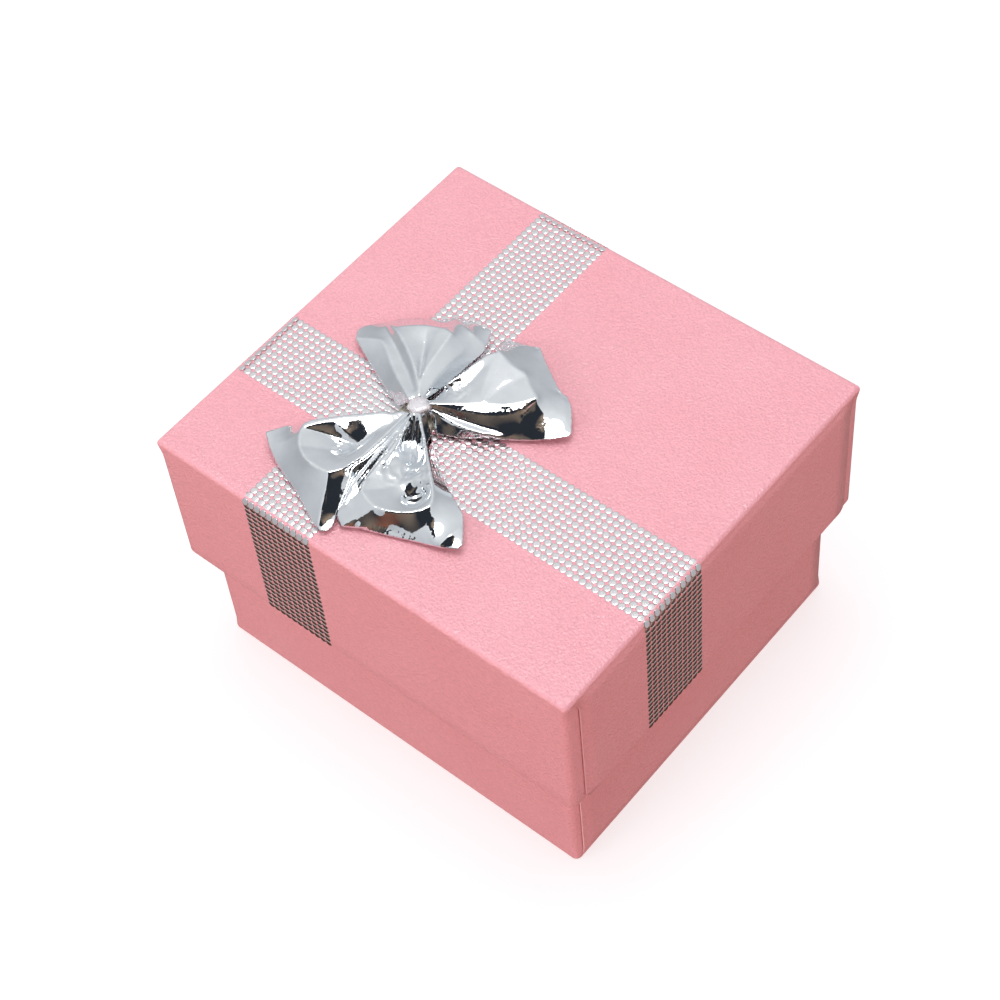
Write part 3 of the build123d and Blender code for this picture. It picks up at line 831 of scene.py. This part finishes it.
pad_low, pad_high = (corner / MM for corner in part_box("ring_pad_foam"))
cover_low, cover_high = (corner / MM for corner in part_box("ring_pad_velvet"))
sheet_low, sheet_high = (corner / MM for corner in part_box("lid_foam"))
# the ring's slit and the two cuts for a chain, each from one end (x, y) to the other
pad_cuts = ((-11, 0, 11, 0), (-11, -2.5, -11, 2.5), (11, -2.5, 11, 2.5))
block_high = pad_high - Vector((COVER_THICKNESS, COVER_THICKNESS, 0))
block_form = pad_form(pad_low, block_high, PAD_CROWN, pad_cuts, 0.85, True)
block = finish_piece("ring_pad_block", block_form, foam, "base", ["ring_pad_foam"])
cover_form = pad_form(cover_low, cover_high, PAD_CROWN, pad_cuts, 0.4, False)
cover = finish_piece("ring_pad_cover", cover_form, velvet, "base", ["ring_pad_velvet"])
backing = cover.modifiers.new("backing", "SOLIDIFY")
backing.thickness = COVER_THICKNESS * MM
backing.offset = -1
# the lid's sheet is pressed flat against the board above it, and crowned where it hangs free
sheet_face = Vector((sheet_high.x, sheet_high.y, -sheet_low.z))
sheet_form = pad_form(-sheet_high, sheet_face, SHEET_CROWN, (), 0, True)
for vert in sheet_form.verts:
    vert.co.z = -vert.co.z
bmesh.ops.reverse_faces(sheet_form, faces=sheet_form.faces)
sheet = finish_piece("lid_foam_sheet", sheet_form, foam, "lid", ["lid_foam"])

# ---------------------------------------------------------------- studio
# A pale floor under soft light, with grey walls, a dark table top and a small bright patch
# overhead that only reflections see, and a dark screen that leans on the camera's side and gives
# the film its black bands.

FLOOR_SIZE = 3000
# how far each corner of the screen is towards the camera, to the side and up
SCREEN = ((250, -150, -260), (250, 190, -260), (70, 230, 480), (70, -130, 480))

floor_shape = bmesh.new()
bmesh.ops.create_grid(floor_shape, x_segments=1, y_segments=1, size=FLOOR_SIZE)
floor_paper, tree, shader, place = start_material("white floor paper", {
    "Roughness": 1.0, "Specular IOR Level": 0.0, "Emission Strength": 0.62})
shader.inputs["Base Color"].default_value = linear("#b8b8b8")
shader.inputs["Emission Color"].default_value = linear("#ffffff")
floor = finish_piece("floor", floor_shape, floor_paper, None, None)
floor.visible_glossy = False
floor.visible_diffuse = False

facing_camera = Vector((0.7046, -0.7096, 0))
sideways = Vector((0.7096, 0.7046, 0))
screen_shape = bmesh.new()
screen_corners = []
for away, aside, height in SCREEN:
    screen_corners.append(facing_camera * away + sideways * aside + Vector((0, 0, height)))
screen_shape.faces.new([screen_shape.verts.new(corner) for corner in screen_corners])
# The screen is matt cloth: nearly black above, brown below, with a few broad paler patches.
dark_screen, tree, shader, place = start_material("dark screen", {
    "Roughness": 1.0, "Specular IOR Level": 0.0, "Emission Strength": 1.0})
shader.inputs["Base Color"].default_value = linear("#000000")
blur = add_node(tree, "ShaderNodeTexNoise", None, {"Vector": place, "Scale": 1 / (180 * MM), "Detail": 0})
patches = add_node(tree, "ShaderNodeMapRange", None, {
    "Value": blur.outputs["Fac"], "From Min": 0.55, "From Max": 0.75})
height = add_node(tree, "ShaderNodeSeparateXYZ", None, {0: place})
ramp = add_node(tree, "ShaderNodeMapRange", None, {
    "Value": height.outputs["Z"], "From Min": 0.02, "From Max": 0.09})
screen_tone = add_node(tree, "ShaderNodeMix", {"data_type": "RGBA"}, {
    "Factor": ramp.outputs["Result"], 6: linear("#8a5a48"), 7: linear("#2b2f36")})
patched_tone = add_node(tree, "ShaderNodeMix", {"data_type": "RGBA"}, {
    "Factor": patches.outputs["Result"], 6: screen_tone.outputs[2], 7: linear("#9d8a78")})
tree.links.new(patched_tone.outputs[2], shader.inputs["Emission Color"])
screen = finish_piece("screen", screen_shape, dark_screen, None, None)
for sight in ("camera", "diffuse", "shadow", "transmission"):
    setattr(screen, f"visible_{sight}", False)

world = bpy.data.worlds.new("studio")
world.use_nodes = True
bpy.context.scene.world = world
sky = world.node_tree
background = sky.nodes["Background"]
rays = add_node(sky, "ShaderNodeLightPath").outputs
toward = add_node(sky, "ShaderNodeTexCoord").outputs["Generated"]
upward = add_node(sky, "ShaderNodeSeparateXYZ", None, {0: toward}).outputs["Z"]
# what reflections see: a brown table below, light grey walls, and a brighter ceiling with a
# bright patch straight above
seen = add_node(sky, "ShaderNodeValToRGB", None, {"Fac": add_node(sky, "ShaderNodeMapRange", None, {
    "Value": upward, "From Min": -1.0, "From Max": 1.0}).outputs["Result"]})
stops = ((0.0, "#3a2a26"), (0.14, "#5a4038"), (0.26, "#c4b8b4"), (0.50, "#b4b8bd"), (0.70, "#cdd1d5"),
         (0.86, "#dcdfe2"), (0.92, "#e6e9ec"), (0.97, "#f4f6f8"), (1.0, "#ffffff"))
for at, _ in stops[1:-1]:
    seen.color_ramp.elements.new(at)
for stop, (at, tone) in zip(seen.color_ramp.elements, stops):
    stop.position = at
    stop.color = linear(tone)
# what lights the box: cool from above, warm from the sides and below
light = add_node(sky, "ShaderNodeMix", {"data_type": "RGBA"}, {
    "Factor": add_node(sky, "ShaderNodeMapRange", None, {
        "Value": upward, "From Min": -0.2, "From Max": 0.8}).outputs["Result"],
    6: linear("#fbc8bb"), 7: linear("#bcc0c8")})
glow = add_node(sky, "ShaderNodeMapRange", None, {
    "Value": upward, "From Min": 0.945, "From Max": 0.99, "To Min": 1.0, "To Max": 8.0})
glowing = add_node(sky, "ShaderNodeVectorMath", {"operation": "SCALE"}, {
    0: seen.outputs["Color"], "Scale": glow.outputs["Result"]})
chosen = add_node(sky, "ShaderNodeMix", {"data_type": "RGBA"}, {
    "Factor": rays["Is Glossy Ray"], 6: light.outputs[2], 7: glowing.outputs[0]})
shown = add_node(sky, "ShaderNodeMix", {"data_type": "RGBA"}, {
    "Factor": rays["Is Camera Ray"], 6: chosen.outputs[2], 7: (1, 1, 1, 1)})
sky.links.new(shown.outputs[2], background.inputs["Color"])

for name, spot, size, power in (("overhead softbox", (-25, 30, 430), 280, 0.8),
                                ("side fill", (-130, -420, 160), 260, 0.62)):
    lamp = bpy.data.lights.new(name, "AREA")
    lamp.shape = "SQUARE"
    lamp.size = size * MM
    lamp.energy = power
    stand = bpy.data.objects.new(name, lamp)
    stand.location = Vector(spot) * MM
    stand.rotation_euler = (Vector((0, 0, 20 * MM)) - stand.location).to_track_quat("-Z", "Y").to_euler()
    stand.visible_glossy = False
    bpy.context.scene.collection.objects.link(stand)
bpy.context.scene.view_settings.view_transform = "Standard"

# ---------------------------------------------------------------- camera
# The camera looks down on the nearest upright corner, and is turned a little about its own axis.

AIM = Vector((-2.683, 0.450, 16.0))
BACK = Vector((0.42157, -0.42450, 0.80130))
DISTANCE = 239.8
LENS = 85.49
ROLL = -6.64
camera_data = bpy.data.cameras.new("camera")
camera_data.sensor_width = 36
camera_data.lens = LENS
camera_data.clip_start = 0.01
camera = bpy.data.objects.new("camera", camera_data)
camera.location = (AIM + BACK * DISTANCE) * MM
camera.rotation_mode = "QUATERNION"
camera.rotation_quaternion = BACK.to_track_quat("Z", "Y") @ Quaternion((0, 0, 1), math.radians(ROLL))
bpy.context.scene.collection.objects.link(camera)
bpy.context.scene.camera = camera
